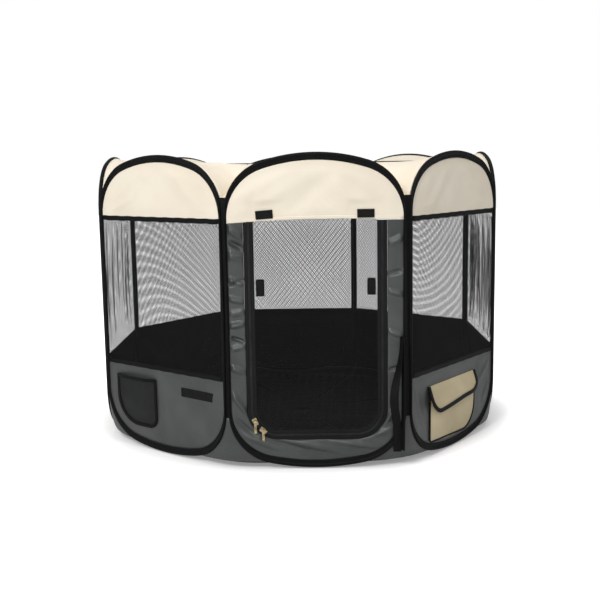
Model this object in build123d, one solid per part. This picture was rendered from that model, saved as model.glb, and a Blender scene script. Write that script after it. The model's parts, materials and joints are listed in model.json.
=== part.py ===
from build123d import *
import os
from math import asin, atan2, cos, degrees, pi, radians, sin, sqrt

# Eight-sided folding playpen. Millimetres, +Z up. The origin is on the ground under the middle of the floor.
# Every side is a flat panel. A panel is drawn in its own frame: +X runs along it from left to right as seen
# from outside, +Y points into the pen and +Z is up. The front panel's frame is parallel to the pen's.

# Octagon: hinge lines between the panels
SIDE = 344.4  # from one hinge line to the next
CORNER_TURN = 45.0  # mean turn of the wall at a seam, in degrees
CORNER_SWING = 6.0  # the seams turn by this much more and less in turn
PANEL_NAMES = ("front", "front_right", "right", "back_right", "back", "back_left", "left", "front_left")

# Panel outline: a three-centred arch at the top and at the bottom
PANEL_LOW = 2.0
PANEL_HIGH = 600.0
CORNER_R = 102.0
TOP_R = 330.0
BOTTOM_R = 450.0

# Edge of a panel: sprung wire in a cloth binding
TUBE_R = 3.2  # binding wrapped round the wire
WIRE_R = 1.4
BORE_R = 1.55
HINGE_GAP = 4.6  # from the wire's centre to the hinge line, along the panel
INNER_HINGE = 3.5  # every second hinge line lies this far inside the panels' middle plane
BAND = 14.0  # width of the binding at the top and bottom
BAND_SIDE = 7.0  # width of the binding at the sides
BAND_T = 1.6

# Cloths
CLOTH_T = 0.8
CREAM_Z = 475.0
GREY_Z = 175.0
CROSS_BAND = 10.0  # height of the bands that cover the edges of the cloths

# Gussets that bridge the rounded feet of two neighbouring panels
GUSSET_CLEAR = 0.8  # from the binding
GUSSET_TOP = 80.0  # how far up the corner arc a gusset reaches, in degrees
GUSSET_STEPS = 6

# Door in the front panel
ZIP_OUTER = 134.0  # half width of the zip, outer edge
ZIP_BOTTOM = 57.0
ZIP_CORNER_R = 60.0
ZIP_HALF = 9.6  # one half of the zip's tape
ZIP_T = 1.2
ZIP_SLIT = 0.3
DOOR_SLIT = 1.0
PATCH_L = 32.0
PATCH_W = 16.0
PATCH_T = 1.6
HEADER_PATCH_X = 94.0
DOOR_PATCH_X = 104.0
DOOR_PATCH_Z = 351.0

# Zip slider and pull tab
SLIDER_ANGLES = {"upper": 208.0, "lower": 234.0}  # places on the zip's lower left corner, in degrees
SLIDER_L = 14.0
SLIDER_W = 9.0
SLIDER_T = 2.4
SLIDER_CLEAR = 0.2
PIN_R = 0.8
PIN_Y = 5.1  # pin's centre in front of the slider's back
EYE_BORE_R = 1.15
EYE_R = 2.3
PULL_L = 22.0
PULL_W = 5.0
PULL_T = 1.2
CHEEK_T = 1.2

# Roof
RING_R = 294.0  # zip line of the roof cover
RING_Z = 580.0
RIM_T = 0.8
RIM_INSET = 5.0  # the rim is sewn on just inside the panels' middle plane
RIM_DIP_Z = 525.0
RIM_DIP_INSET = 14.0
RIM_STATIONS = (-120.0, -60.0, 0.0, 60.0, 120.0)
RING_BAND = 10.0
RING_T = 2.4
RIM_CLEAR = 1.5  # the rim has straight edges between its points, and the zip is round
ROOF_SLIDER_ANGLE = -14.0

# Floor
FLOOR_T = 1.5
FLOOR_INSET = 2.0
FLOOR_HALF = 89.0  # half length of the floor's edge under a panel; its corners are cut off under the gussets

# Pockets, hook tape and handle
MESH_POCKET = {"left": -140.0, "right": -22.0, "low": 48.0, "high": 149.0, "depth": 8.0}
MESH_POCKET_R = {"left": 75.0, "right": 22.0}
FLAP_POCKET = {"left": -98.0, "right": 90.0, "low": 28.0, "high": 100.0, "depth": 12.0}
FLAP_POCKET_R = {"left": 6.0, "right": 45.0}
POCKET_WALL = 1.0
FLAP_TOP = 143.0
FLAP_FOOT = 91.0
FLAP_OUT = 16.3  # how far the flap's foot stands out from its sewn edge
FLAP_SIDE = 3.0
FLAP_BACK = 0.3  # gap behind the flap's sewn edge
FLAP_CORNER_R = 16.0
FLAP_T = 1.6
HOOK_STRIP = {"left": 54.0, "right": 136.0, "low": 127.0, "high": 143.0}
STRAP_W = 16.0
STRAP_T = 2.0
STRAP_TOP = (153.0, 238.0)  # along the panel and up
STRAP_FOOT = (149.0, 46.0)
STRAP_BELLY = 24.0
STRAP_END = 14.0  # length of the flat stretch sewn down at each end

# Worked out from the sizes above
PANEL_HALF = SIDE / 2 - HINGE_GAP + TUBE_R  # half width of a panel's outline
ARC_X = PANEL_HALF - CORNER_R  # corner arcs' centres
RIM_INNER_R = RING_R + RING_BAND + RIM_CLEAR
RING_LOW = RING_Z - RING_T / 2
ZIP_ARC = (ZIP_OUTER - ZIP_CORNER_R, ZIP_BOTTOM + ZIP_CORNER_R)  # centre of the zip's right corner arc


def hinge_turn(seam):
    """The wall's turn at a seam, in degrees. Seam k is at the left end of panel k."""
    return CORNER_TURN + (CORNER_SWING if seam % 2 else -CORNER_SWING)


def octagon():
    """The eight hinge lines' plan positions, and the direction of the line from each to the next."""
    headings = [0.0]
    for seam in range(1, 8):
        headings.append(headings[-1] + hinge_turn(seam))
    points = [Vector(0, 0)]
    for heading in headings[:-1]:
        points.append(points[-1] + Vector(SIDE, 0).rotate(Axis.Z, heading))
    middle = sum(points, Vector(0, 0)) / len(points)
    return [point - middle for point in points], headings


HINGES, HEADINGS = octagon()
# A panel has one hinge line in its middle plane and one inside it, so it stands a little askew to the side.
SKEW = degrees(asin(INNER_HINGE / SIDE))


def panel_frame(panel):
    """The place of a panel's own frame in the pen."""
    even = panel % 2 == 0  # an even panel has its inner hinge line at its right end
    heading = HEADINGS[panel] - (SKEW if even else -SKEW)
    middle_hinge = HINGES[panel] if even else HINGES[(panel + 1) % 8]
    half = sqrt(SIDE**2 - INNER_HINGE**2) / 2
    centre = middle_hinge + Vector(half if even else -half, 0).rotate(Axis.Z, heading)
    return Location((centre.X, centre.Y, 0), (0, 0, heading))


def corner_arc_place(end_z, end_r, corner_r, up):
    """Height of a corner arc's centre, and how far from upright it meets the long arc, in radians."""
    lean = asin(ARC_X / (end_r - corner_r))
    return end_z - up * (end_r - (end_r - corner_r) * cos(lean)), lean


def on_corner(side, centre_z, corner_r, angle, up):
    """A point of a corner arc. The angle is counted from upright."""
    return Vector(side * (ARC_X + corner_r * sin(angle)), 0, centre_z + up * corner_r * cos(angle))


def arch_line(inset, band=0.0):
    """A panel's outline, moved in by inset, and by a further band at the top and bottom."""
    half = PANEL_HALF - inset
    corner_r = CORNER_R - inset
    high = PANEL_HIGH - inset - band
    low = PANEL_LOW + inset + band
    top_z, top_lean = corner_arc_place(high, TOP_R - inset - band, corner_r, 1)
    foot_z, foot_lean = corner_arc_place(low, BOTTOM_R - inset - band, corner_r, -1)

    def corner(side, centre_z, lean, up):
        angles = (lean, (lean + pi / 2) / 2, pi / 2)
        return [on_corner(side, centre_z, corner_r, angle, up) for angle in angles]

    top_right = corner(1, top_z, top_lean, 1)
    top_left = corner(-1, top_z, top_lean, 1)
    foot_right = corner(1, foot_z, foot_lean, -1)
    foot_left = corner(-1, foot_z, foot_lean, -1)
    return Wire(
        [
            ThreePointArc(top_left[0], (0, 0, high), top_right[0]),
            ThreePointArc(*top_right),
            Line((half, 0, top_z), (half, 0, foot_z)),
            ThreePointArc(*foot_right),
            ThreePointArc(foot_right[0], (0, 0, low), foot_left[0]),
            ThreePointArc(*foot_left),
            Line((-half, 0, foot_z), (-half, 0, top_z)),
            ThreePointArc(*top_left),
        ]
    )


def arch_height(x):
    """Height of a panel's outline at x along the panel, near its top."""
    centre_z, lean = corner_arc_place(PANEL_HIGH, TOP_R, CORNER_R, 1)
    if abs(x) <= TOP_R * sin(lean):
        return PANEL_HIGH - TOP_R + sqrt(TOP_R**2 - x**2)
    return centre_z + sqrt(CORNER_R**2 - (abs(x) - ARC_X) ** 2)


def slab(line, thickness):
    """A plate of the given thickness on both sides of the panel's middle plane, inside a line."""
    return extrude(Face(line), thickness / 2, (0, 1, 0), both=True)


def block(x_low, x_high, z_low, z_high, y_low, y_high):
    """A box given by its limits."""
    size = (x_high - x_low, y_high - y_low, z_high - z_low)
    centre = ((x_low + x_high) / 2, (y_low + y_high) / 2, (z_low + z_high) / 2)
    return Pos(*centre) * Box(*size)


def level(z_low, z_high):
    """Everything in a panel between two heights."""
    return block(-SIDE, SIDE, z_low, z_high, -SIDE, SIDE)


def tube(line, radius):
    """A round bar along a closed line that lies in the panel's plane."""
    start = Plane(origin=line @ 0, z_dir=line % 0)
    return sweep(start * Circle(radius), path=line)


def inside_binding(thickness=CLOTH_T):
    """The whole field inside a panel's binding."""
    return slab(arch_line(BAND_SIDE, BAND - BAND_SIDE), thickness)


def frame_wire():
    return tube(arch_line(TUBE_R), WIRE_R)


def binding(with_bands):
    """Binding wrapped round the wire, its flat lip, and the bands over the edges of the cloths."""
    lip = slab(arch_line(TUBE_R), BAND_T) - inside_binding(BAND_T * 2)
    body = tube(arch_line(TUBE_R), TUBE_R) + lip - tube(arch_line(TUBE_R), BORE_R)
    if with_bands:
        for z in (CREAM_Z, GREY_Z):
            body += inside_binding(BAND_T) & level(z - CROSS_BAND / 2, z + CROSS_BAND / 2)
    return body


def cream_cloth(low):
    return inside_binding() & level(low, PANEL_HIGH)


def mesh_window():
    return inside_binding() & level(GREY_Z + CROSS_BAND / 2, CREAM_Z - CROSS_BAND / 2)


def lower_cloth():
    return inside_binding() & level(0, GREY_Z - CROSS_BAND / 2)


def door_line(inset):
    """The zip's U, closed along the door's hinge line, moved in by inset."""
    half = ZIP_OUTER - inset
    corner = ZIP_CORNER_R - inset
    low = ZIP_BOTTOM + inset
    centre_x, centre_z = ZIP_ARC
    high = CREAM_Z - DOOR_SLIT / 2
    slant = corner * sin(pi / 4)
    left_arc = ThreePointArc(
        (-half, 0, centre_z), (-centre_x - slant, 0, centre_z - slant), (-centre_x, 0, low)
    )
    right_arc = ThreePointArc((centre_x, 0, low), (centre_x + slant, 0, centre_z - slant), (half, 0, centre_z))
    return Wire(
        [
            Line((-half, 0, high), (-half, 0, centre_z)),
            left_arc,
            Line((-centre_x, 0, low), (centre_x, 0, low)),
            right_arc,
            Line((half, 0, centre_z), (half, 0, high)),
            Line((half, 0, high), (-half, 0, high)),
        ]
    )


def door_surround():
    field = inside_binding() & level(0, CREAM_Z - DOOR_SLIT / 2)
    return field - slab(door_line(0), BAND_T)


def door_zip_tape():
    return slab(door_line(0), ZIP_T) - slab(door_line(ZIP_HALF - ZIP_SLIT / 2), ZIP_T * 2)


def door_edge_tape():
    return slab(door_line(ZIP_HALF + ZIP_SLIT / 2), ZIP_T) - slab(door_line(2 * ZIP_HALF), ZIP_T * 2)


def door_mesh():
    return slab(door_line(2 * ZIP_HALF), CLOTH_T)


def patch(x, z, width, height):
    """A patch of hook or loop tape on the outside of a cloth."""
    back = -CLOTH_T / 2
    return block(x - width / 2, x + width / 2, z - height / 2, z + height / 2, back - PATCH_T, back)


def header_patches():
    z = CREAM_Z + 4 + PATCH_W / 2
    return [patch(side * HEADER_PATCH_X, z, PATCH_L, PATCH_W) for side in (-1, 1)]


def door_patches():
    return [patch(side * DOOR_PATCH_X, DOOR_PATCH_Z, PATCH_W, PATCH_L) for side in (-1, 1)]


def slider_place(which):
    """The middle of a zip slider's back, on the zip's lower left corner, and its turn."""
    angle = SLIDER_ANGLES[which]
    radius = ZIP_CORNER_R - ZIP_HALF
    x = -ZIP_ARC[0] + radius * cos(radians(angle))
    z = ZIP_ARC[1] + radius * sin(radians(angle))
    return x, -ZIP_T / 2 - SLIDER_CLEAR, z, angle


def slider(which):
    """A zip slider: a tapered plate with two cheeks that hold the pull tab's pin."""
    x, y, z, angle = slider_place(which)
    outline = make_face(
        Polyline(
            (-SLIDER_W / 2, SLIDER_L / 2),
            (SLIDER_W / 2, SLIDER_L / 2),
            (SLIDER_W / 2, 0),
            (SLIDER_W / 3, -SLIDER_L / 2),
            (-SLIDER_W / 3, -SLIDER_L / 2),
            (-SLIDER_W / 2, 0),
            close=True,
        )
    )
    plate = Rot(90, 0, 0) * extrude(outline, SLIDER_T)
    plate = fillet(plate.edges().filter_by(Axis.Y), 1.0)
    plate = Rot(0, 180 - angle, 0) * plate
    reach = PULL_W / 2 + CHEEK_T
    body = plate
    for side in (-1, 1):
        x_low, x_high = sorted((side * (reach - CHEEK_T + 0.3), side * (reach + 0.3)))
        body += block(x_low, x_high, -1.6, 1.6, -PIN_Y - 1.4, -SLIDER_T + 0.5)
    body += Pos(0, -PIN_Y, 0) * Rot(0, 90, 0) * Cylinder(PIN_R, 2 * reach)
    return Pos(x, y, z) * body


def pull_tab(which):
    """A pull tab that hangs from its slider's pin."""
    x, y, z, _ = slider_place(which)
    eye = Rot(0, 90, 0) * Cylinder(EYE_R, PULL_W - 0.4)
    blade = block(-PULL_W / 2, PULL_W / 2, -PULL_L, -EYE_R * 0.6, -PULL_T / 2, PULL_T / 2)
    blade = fillet(blade.edges().filter_by(Axis.Y), 1.2)
    body = eye + blade - Rot(0, 90, 0) * Cylinder(EYE_BORE_R, PULL_W * 2)
    return Pos(x, y - PIN_Y, z) * body


def carry_handle():
    """A webbing strap that bows out from the panel, sewn to the cloth at its top and to the binding below."""
    top_x, top_z = STRAP_TOP
    foot_x, foot_z = STRAP_FOOT
    back = -TUBE_R
    start = Vector(top_x, back - STRAP_T / 2, top_z)
    end = Vector(foot_x, back - STRAP_T / 2, foot_z)
    belly = (start + end) / 2 + Vector(0, -STRAP_BELLY, 0)
    line = Wire([ThreePointArc(start, belly, end)])
    across = (end - start).cross(Vector(0, 1, 0)).normalized()
    section = Plane(origin=line @ 0, x_dir=across, z_dir=line % 0) * Rectangle(STRAP_W, STRAP_T)
    strap = sweep(section, path=line)
    top_x_range = (top_x - STRAP_W / 2, top_x + STRAP_W / 2)
    foot_x_range = (foot_x - STRAP_W / 2, foot_x + STRAP_W / 2)
    strap += block(*top_x_range, top_z - STRAP_T, top_z + STRAP_END, back - STRAP_T, -CLOTH_T / 2)
    strap += block(*foot_x_range, foot_z - STRAP_END, foot_z + STRAP_T, back - STRAP_T, back)
    return strap


def pocket_shell(size, corner_r):
    """An open-topped pocket on the outside of a panel, whose back is the panel's own cloth."""
    back = -CLOTH_T / 2

    def bag(inset, depth, high):
        left, right = size["left"] + inset, size["right"] - inset
        body = block(left, right, size["low"] + inset, high, back - depth, back)
        feet = body.edges().filter_by(Axis.Y).sort_by(Axis.Z)[:2].sort_by(Axis.X)
        body = fillet(feet[0], corner_r["left"] - inset)
        foot = body.edges().filter_by(Axis.Y).sort_by(Axis.X)[-2:].sort_by(Axis.Z)[0]
        return fillet(foot, corner_r["right"] - inset)

    outside = bag(0, size["depth"] + POCKET_WALL, size["high"])
    return outside - bag(POCKET_WALL, size["depth"], size["high"] + 2 * POCKET_WALL)


def mesh_pocket():
    return pocket_shell(MESH_POCKET, MESH_POCKET_R)


def flap_pocket():
    return pocket_shell(FLAP_POCKET, FLAP_POCKET_R)


def pocket_flap():
    """The flap that hangs slantwise over the flap pocket's mouth."""
    length = sqrt((FLAP_TOP - FLAP_FOOT) ** 2 + FLAP_OUT**2)
    slant = degrees(atan2(FLAP_OUT, FLAP_TOP - FLAP_FOOT))
    left = FLAP_POCKET["left"] - FLAP_SIDE
    right = FLAP_POCKET["right"] + FLAP_SIDE
    plate = block(left, right, -length, 0, -FLAP_T, 0)
    plate = fillet(plate.edges().filter_by(Axis.Y).sort_by(Axis.Z)[:2], FLAP_CORNER_R)
    return Pos(0, -CLOTH_T / 2 - FLAP_BACK, FLAP_TOP) * Rot(-slant, 0, 0) * plate


def hook_strip():
    back = -CLOTH_T / 2
    size = HOOK_STRIP
    return block(size["left"], size["right"], size["low"], size["high"], back - PATCH_T, back)


def floor_mat():
    """The sheet under the panels, with its eight corners cut off."""
    points = []
    for panel in range(8):
        for x in (-FLOOR_HALF, FLOOR_HALF):
            points.append((panel_frame(panel) * Pos(x, FLOOR_INSET, 0)).position)
    return extrude(make_face(Polyline(*points, close=True)), FLOOR_T)


def thin_sheet(first, second, step, closed):
    """A thin solid between two rows of points, as thick as step. A closed one goes all the way round."""
    count = len(first)
    faces = []
    for i in range(count if closed else count - 1):
        a, b = first[i], first[(i + 1) % count]
        d, c = second[i], second[(i + 1) % count]
        for corners in ((a, b, c), (a, c, d)):
            faces.append(Face(Wire.make_polygon(corners)))
            faces.append(Face(Wire.make_polygon([corner + step for corner in corners])))
        for p, q in ((a, b), (d, c)):
            faces.append(Face(Wire.make_polygon([p, q, q + step, p + step])))
    if not closed:
        for p, q in ((first[0], second[0]), (first[-1], second[-1])):
            faces.append(Face(Wire.make_polygon([p, q, q + step, p + step])))
    return Solid(Shell(faces))


def corner_gussets():
    """The eight bent triangles of cloth that close the pen's foot between the panels' rounded corners."""
    foot_z, lean = corner_arc_place(PANEL_LOW, BOTTOM_R, CORNER_R, -1)
    turn = radians(GUSSET_TOP) - lean
    gussets = []
    for seam in range(8):
        rows = []
        for panel, side in ((seam - 1, 1), (seam, -1)):
            place = panel_frame(panel % 8)
            row = []
            for i in range(GUSSET_STEPS + 1):
                angle = lean + turn * i / GUSSET_STEPS
                point = on_corner(side, foot_z, CORNER_R + GUSSET_CLEAR, angle, -1)
                row.append((place * Pos(*point)).position)
            rows.append(row)
        inward = HINGES[seam] * (-CLOTH_T / HINGES[seam].length)
        gussets.append(thin_sheet(rows[0], rows[1], inward, False))
    return gussets


def rim_lines():
    """Matching points along the outer and the inner edge of the roof's rim, going round."""
    outer = []
    for panel in range(8):
        dip = HINGES[panel]
        towards_middle = dip * (1 - RIM_DIP_INSET / dip.length)
        outer.append(Vector(towards_middle.X, towards_middle.Y, RIM_DIP_Z))
        for x in RIM_STATIONS:
            place = panel_frame(panel) * Pos(x, RIM_INSET, arch_height(x) - TUBE_R)
            outer.append(place.position)
    inner = []
    for point in outer:
        angle = atan2(point.Y, point.X)
        inner.append(Vector(RIM_INNER_R * cos(angle), RIM_INNER_R * sin(angle), RING_Z))
    return outer, inner


def roof_rim():
    """A thin ring of cloth from the tops of the panels up to the zip of the roof cover."""
    outer, inner = rim_lines()
    return thin_sheet(outer, inner, Vector(0, 0, -RIM_T), True)


def ring(outer_r, inner_r, z_low, z_high):
    """A flat ring round the pen's middle."""
    height = z_high - z_low
    middle = Pos(0, 0, (z_low + z_high) / 2)
    return middle * (Cylinder(outer_r, height) - Cylinder(inner_r, height * 2))


def roof_zip():
    return ring(RING_R + RING_BAND, RING_R, RING_LOW, RING_LOW + RING_T)


def roof_mesh():
    cover = Pos(0, 0, RING_Z) * Cylinder(RING_R - RING_BAND, CLOTH_T)
    edge = ring(RING_R - ZIP_SLIT, RING_R - RING_BAND, RING_LOW, RING_LOW + RING_T)
    return cover + edge


def roof_slider():
    body = Box(SLIDER_L, SLIDER_W, SLIDER_T)
    body = fillet(body.edges().filter_by(Axis.Z), 2.0)
    body += Pos(0, 0, SLIDER_T / 2) * Rot(0, 90, 0) * Cylinder(1.6, SLIDER_L * 0.6)
    z = RING_LOW + RING_T + SLIDER_CLEAR + SLIDER_T / 2
    return Rot(0, 0, ROOF_SLIDER_ANGLE) * Pos(RING_R + 1, 0, z) * Rot(0, 0, 90) * body


def write(name, shape, place=Location()):
    """Writes one sub-part, placed in the pen, as a STEP file."""
    shapes = shape if isinstance(shape, list) else [shape]
    solids = [solid for item in shapes for solid in item.solids()]
    moved = [place * solid for solid in solids]
    whole = moved[0] if len(moved) == 1 else Compound(children=moved)
    whole.label = name
    export_step(whole, os.path.join("parts", name + ".step"))


def write_panels():
    wire = frame_wire()
    bound = binding(True)
    cream = cream_cloth(CREAM_Z + CROSS_BAND / 2)
    mesh = mesh_window()
    lower = lower_cloth()
    for panel, name in enumerate(PANEL_NAMES):
        place = panel_frame(panel)
        write("frame_wire_" + name, wire, place)
        if name == "front":
            write("binding_front", binding(False), place)
            write("cream_cloth_front", cream_cloth(CREAM_Z + DOOR_SLIT / 2), place)
            continue
        write("binding_" + name, bound, place)
        write("cream_cloth_" + name, cream, place)
        write("mesh_window_" + name, mesh, place)
        write("lower_cloth_" + name, lower, place)


def write_door():
    place = panel_frame(0)
    write("door_surround", door_surround(), place)
    write("door_zip_tape", door_zip_tape(), place)
    write("door_edge_tape", door_edge_tape(), place)
    write("door_mesh", door_mesh(), place)
    write("door_patches", door_patches(), place)
    write("header_patches", header_patches(), place)
    for which in SLIDER_ANGLES:
        write("door_slider_" + which, slider(which), place)
        write("door_pull_" + which, pull_tab(which), place)


def write_fittings():
    write("carry_handle", carry_handle(), panel_frame(0))
    write("flap_pocket", flap_pocket(), panel_frame(1))
    write("pocket_flap", pocket_flap(), panel_frame(1))
    write("mesh_pocket", mesh_pocket(), panel_frame(7))
    write("hook_strip", hook_strip(), panel_frame(7))


def write_floor_and_roof():
    write("floor_mat", floor_mat())
    write("corner_gussets", corner_gussets())
    write("roof_rim", roof_rim())
    write("roof_zip", roof_zip())
    write("roof_mesh", roof_mesh())
    write("roof_slider", roof_slider())


os.makedirs("parts", exist_ok=True)
write_panels()
write_door()
write_fittings()
write_floor_and_roof()
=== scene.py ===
# %% [markdown]
# # A folding pet playpen
# The pen is eight arched panels of cloth, each stretched on a loop of sprung wire and sewn to its
# neighbours along the sides. The working frame gives the hinge lines and the hard parts. This notebook
# cuts and sews the cloth: every panel, pocket, zip and strap is its own piece, and rides on the part of
# the frame that carries it.

# %% Frame
import json
from math import asin, atan2, cos, degrees, pi, radians, sin, sqrt

import bpy
from mathutils import Matrix, Vector, noise


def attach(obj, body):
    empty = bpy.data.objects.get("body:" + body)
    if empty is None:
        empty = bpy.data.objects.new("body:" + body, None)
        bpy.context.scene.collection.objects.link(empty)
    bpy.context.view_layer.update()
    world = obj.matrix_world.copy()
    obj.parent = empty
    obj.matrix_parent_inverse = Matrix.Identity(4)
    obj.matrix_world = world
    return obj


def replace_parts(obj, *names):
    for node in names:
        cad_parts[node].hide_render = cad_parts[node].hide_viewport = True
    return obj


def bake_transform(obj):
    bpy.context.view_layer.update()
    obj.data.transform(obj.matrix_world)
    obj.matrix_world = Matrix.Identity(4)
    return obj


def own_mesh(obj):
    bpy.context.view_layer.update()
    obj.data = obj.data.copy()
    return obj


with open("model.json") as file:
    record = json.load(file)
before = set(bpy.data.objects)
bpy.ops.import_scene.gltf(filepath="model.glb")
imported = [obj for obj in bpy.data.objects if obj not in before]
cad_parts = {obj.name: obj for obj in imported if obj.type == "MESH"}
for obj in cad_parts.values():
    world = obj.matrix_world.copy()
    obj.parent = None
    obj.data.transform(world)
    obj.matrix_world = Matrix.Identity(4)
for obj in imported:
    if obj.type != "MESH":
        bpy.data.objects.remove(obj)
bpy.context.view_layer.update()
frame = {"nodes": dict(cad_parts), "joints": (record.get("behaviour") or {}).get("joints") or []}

MM = 0.001

# %% [markdown]
# The hinge lines stand at the corners of an eight-sided plan with opposite corners facing each other
# through the middle. Five of them are read from the frame and the other three are their opposites. Every
# second hinge line lies a little inside the panels, which lets the walls fold up like a fan, so each
# panel stands a little askew.

# %% Panel places
NAMES = ("front", "front_right", "right", "back_right", "back", "back_left", "left", "front_left")
SEAM_JOINTS = ("fold_front_left", "fold", "fold_right", "fold_back_right", "fold_back")
INNER_HINGE = 3.5 * MM

joint_place = {joint["name"]: Vector(joint["pos_m"]) for joint in frame["joints"] if "pos_m" in joint}
seams = [joint_place[name].xy for name in SEAM_JOINTS]
seams += [-seams[1], -seams[2], -seams[3]]
side_length = (seams[1] - seams[0]).length


def panel_place(panel):
    """A panel's own frame: x along it, y into the pen and z up, from the middle of its foot."""
    even = panel % 2 == 0
    run = seams[(panel + 1) % 8] - seams[panel]
    skew = asin(INNER_HINGE / side_length)
    heading = atan2(run.y, run.x) - (skew if even else -skew)
    half = sqrt(side_length**2 - INNER_HINGE**2) / 2 * (1 if even else -1)
    start = seams[panel] if even else seams[(panel + 1) % 8]
    middle = start + Vector((cos(heading), sin(heading))) * half
    return Matrix.Translation((middle.x, middle.y, 0)) @ Matrix.Rotation(heading, 4, "Z")


places = [panel_place(panel) for panel in range(8)]
bodies = ["panel_" + name for name in NAMES]
print("panels:", [round(degrees(place.to_euler().z)) for place in places])

# %% [markdown]
# A panel's outline is a three-centred arch at the top and at the foot: a long shallow arc between two
# tight corner arcs. One function walks round it, moved in by any inset, and always with the same number
# of points, so that two outlines of different insets can be joined point by point.

# %% Panel outline
PANEL_HALF = side_length / 2 - 1.4 * MM
PANEL_LOW = 2 * MM
PANEL_HIGH = 600 * MM
CORNER_R = 102 * MM
TOP_R = 330 * MM
FOOT_R = 450 * MM
TUBE_R = 3.2 * MM  # binding wrapped round the wire
BAND = 14 * MM  # width of the binding at the top and foot
BAND_SIDE = 7 * MM  # and at the sides
CREAM_Z = 475 * MM
GREY_Z = 175 * MM
CROSS_BAND = 10 * MM
CLOTH_T = 0.8 * MM
ARC_X = PANEL_HALF - CORNER_R
FIELD_HALF = PANEL_HALF - BAND_SIDE
LONG_STEPS, CORNER_STEPS, SIDE_STEPS = 14, 22, 26


def end_arc(inset, band, up):
    """The long arc's end height and radius, and the corner arc's centre height, radius and lean."""
    end_z = PANEL_HIGH - inset - band if up > 0 else PANEL_LOW + inset + band
    end_r = (TOP_R if up > 0 else FOOT_R) - inset - band
    corner_r = CORNER_R - inset
    lean = asin(ARC_X / (end_r - corner_r))
    centre_z = end_z - up * (end_r - (end_r - corner_r) * cos(lean))
    return end_z, end_r, centre_z, corner_r, lean


def quarter(inset, band, up):
    """Points from the middle of the top, or foot, to the side."""
    end_z, end_r, centre_z, corner_r, lean = end_arc(inset, band, up)
    points = []
    for i in range(LONG_STEPS):
        angle = lean * i / LONG_STEPS
        points.append((end_r * sin(angle), end_z - up * end_r * (1 - cos(angle))))
    for i in range(CORNER_STEPS + 1):
        angle = lean + (pi / 2 - lean) * i / CORNER_STEPS
        points.append((ARC_X + corner_r * sin(angle), centre_z + up * corner_r * cos(angle)))
    return points


def outline(inset, band=0.0):
    """Points all the way round a panel, clockwise from the middle of its top."""
    top, foot = quarter(inset, band, 1), quarter(inset, band, -1)
    (x, high), (_, low) = top[-1], foot[-1]
    side = [(x, high + (low - high) * i / SIDE_STEPS) for i in range(1, SIDE_STEPS)]
    right = top + side + foot[::-1]
    left = [(-x, z) for x, z in reversed(right)]
    return right + left[1:-1]


def edge_z(x, up, inset=BAND_SIDE, band=BAND - BAND_SIDE):
    """Height of the outline at x along the panel."""
    end_z, end_r, centre_z, corner_r, lean = end_arc(inset, band, up)
    if abs(x) <= end_r * sin(lean):
        return end_z - up * (end_r - sqrt(end_r**2 - x**2))
    return centre_z + up * sqrt(max(corner_r**2 - (abs(x) - ARC_X) ** 2, 0))


print("outline:", len(outline(0)), "points")

# %% [markdown]
# ## Finishes
# Small helpers make shader nodes. Each shared effect is a group of its own: the weave of a cloth, its
# uneven tone, a row of stitches, and the holes of the mesh. They work on the cloth's own measure: every
# piece carries a map, called lay, that says how far along and across the cloth each point is, in metres.

# %% Shader helpers


def srgb(red, green, blue):
    """A colour given the way a screen shows it, from 0 to 255."""
    linear = [((c / 255 + 0.055) / 1.055) ** 2.4 if c > 10 else c / 255 / 12.92 for c in (red, green, blue)]
    return (*linear, 1.0)


def node(tree, kind, inputs=(), **settings):
    """Adds a shader node, with its settings, and its inputs as values or links."""
    made = tree.nodes.new("ShaderNode" + kind)
    for key, value in settings.items():
        setattr(made, key, value)
    for key, value in dict(inputs).items():
        if isinstance(value, bpy.types.NodeSocket):
            tree.links.new(value, made.inputs[key])
        else:
            made.inputs[key].default_value = value
    return made


def calc(tree, operation, first, second=0.0):
    return node(tree, "Math", {0: first, 1: second}, operation=operation).outputs[0]


def times(tree, first, second):
    return calc(tree, "MULTIPLY", first, second)


def plus(tree, first, second):
    return calc(tree, "ADD", first, second)


def ramp(tree, value, low, high, to_low=0.0, to_high=1.0):
    """Turns the stretch low to high into to_low to to_high, smoothly."""
    inputs = {"Value": value, "From Min": low, "From Max": high, "To Min": to_low, "To Max": to_high}
    return node(tree, "MapRange", inputs, interpolation_type="SMOOTHSTEP").outputs["Result"]


def group(name, inputs, outputs):
    """Starts a shared group with its sockets, and gives the tree, its inputs and its output node."""
    tree = bpy.data.node_groups.new(name, "ShaderNodeTree")
    for label, value in inputs.items():
        kind = "NodeSocketVector" if value is None else "NodeSocketFloat"
        socket = tree.interface.new_socket(label, in_out="INPUT", socket_type=kind)
        if value is not None:
            socket.default_value = value
    for label in outputs:
        tree.interface.new_socket(label, in_out="OUTPUT", socket_type="NodeSocketFloat")
    return tree, tree.nodes.new("NodeGroupInput").outputs, tree.nodes.new("NodeGroupOutput")


def use(tree, name, inputs):
    """Puts a shared group into a tree and gives its outputs."""
    made = tree.nodes.new("ShaderNodeGroup")
    made.node_tree = bpy.data.node_groups[name]
    for key, value in inputs.items():
        if isinstance(value, bpy.types.NodeSocket):
            tree.links.new(value, made.inputs[key])
        else:
            made.inputs[key].default_value = value
    return made.outputs


print("shader helpers ready")

# %% [markdown]
# A plain weave is two sets of threads that pass over and under each other. The product of two waves, one
# along the cloth and one across it, gives exactly that chequer of rounded threads.

# %% Weave
tree, given, result = group("weave", {"Place": None, "Pitch": 0.5 * MM}, ["Height"])
per_thread = calc(tree, "DIVIDE", pi, given["Pitch"])
split = node(tree, "SeparateXYZ", {0: given["Place"]}).outputs
waves = [calc(tree, "SINE", times(tree, split[i], per_thread)) for i in (0, 1)]
crossing = times(tree, waves[0], waves[1])
tree.links.new(plus(tree, times(tree, crossing, 0.5), 0.5), result.inputs["Height"])
print("weave ready")

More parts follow.
